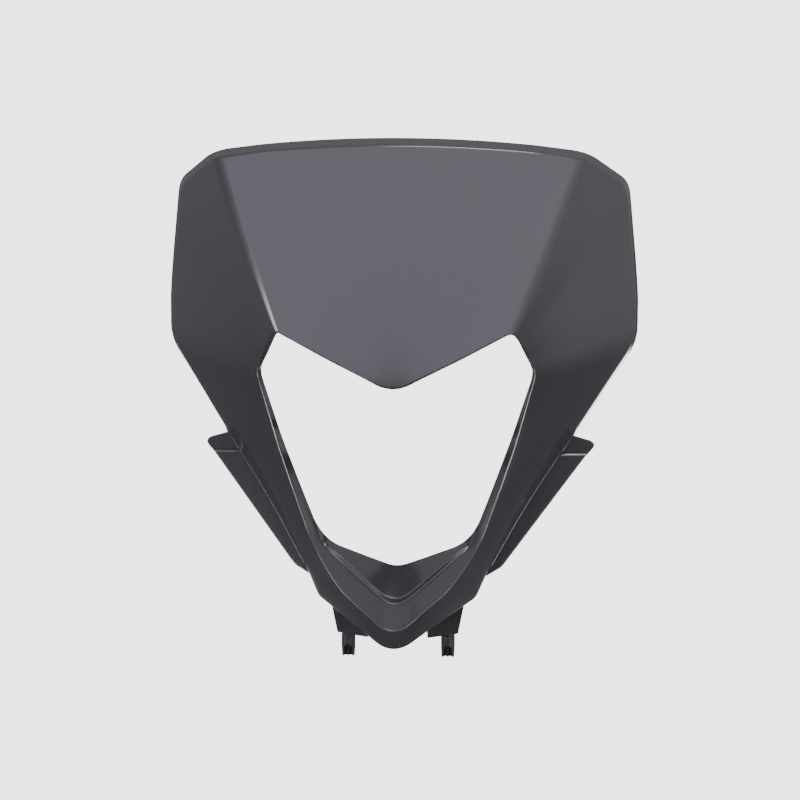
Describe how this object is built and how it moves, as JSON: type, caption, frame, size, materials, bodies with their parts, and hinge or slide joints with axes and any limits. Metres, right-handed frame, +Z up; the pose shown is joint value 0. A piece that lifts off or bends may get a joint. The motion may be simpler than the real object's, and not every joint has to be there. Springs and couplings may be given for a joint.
{
  "type": "headlight cowl",
  "caption": "Moulded dark grey headlight cowl for an off-road motorcycle, with a plate above a V-edged lamp opening, side wings and lower locating pegs.",
  "frame": {"origin": "midway between the two upper screw holes, on the plane of their rear boss faces", "axes": "+Z up, +Y back towards the fork, +X across; the plane X = 0 is the plane of symmetry"},
  "size_m": [0.2856, 0.1107, 0.3109],
  "materials": {
    "cowl_plastic": "satin moulded"
  },
  "bodies": {
    "root": {"cowl": "cowl_plastic"}
  },
  "joints": []
}
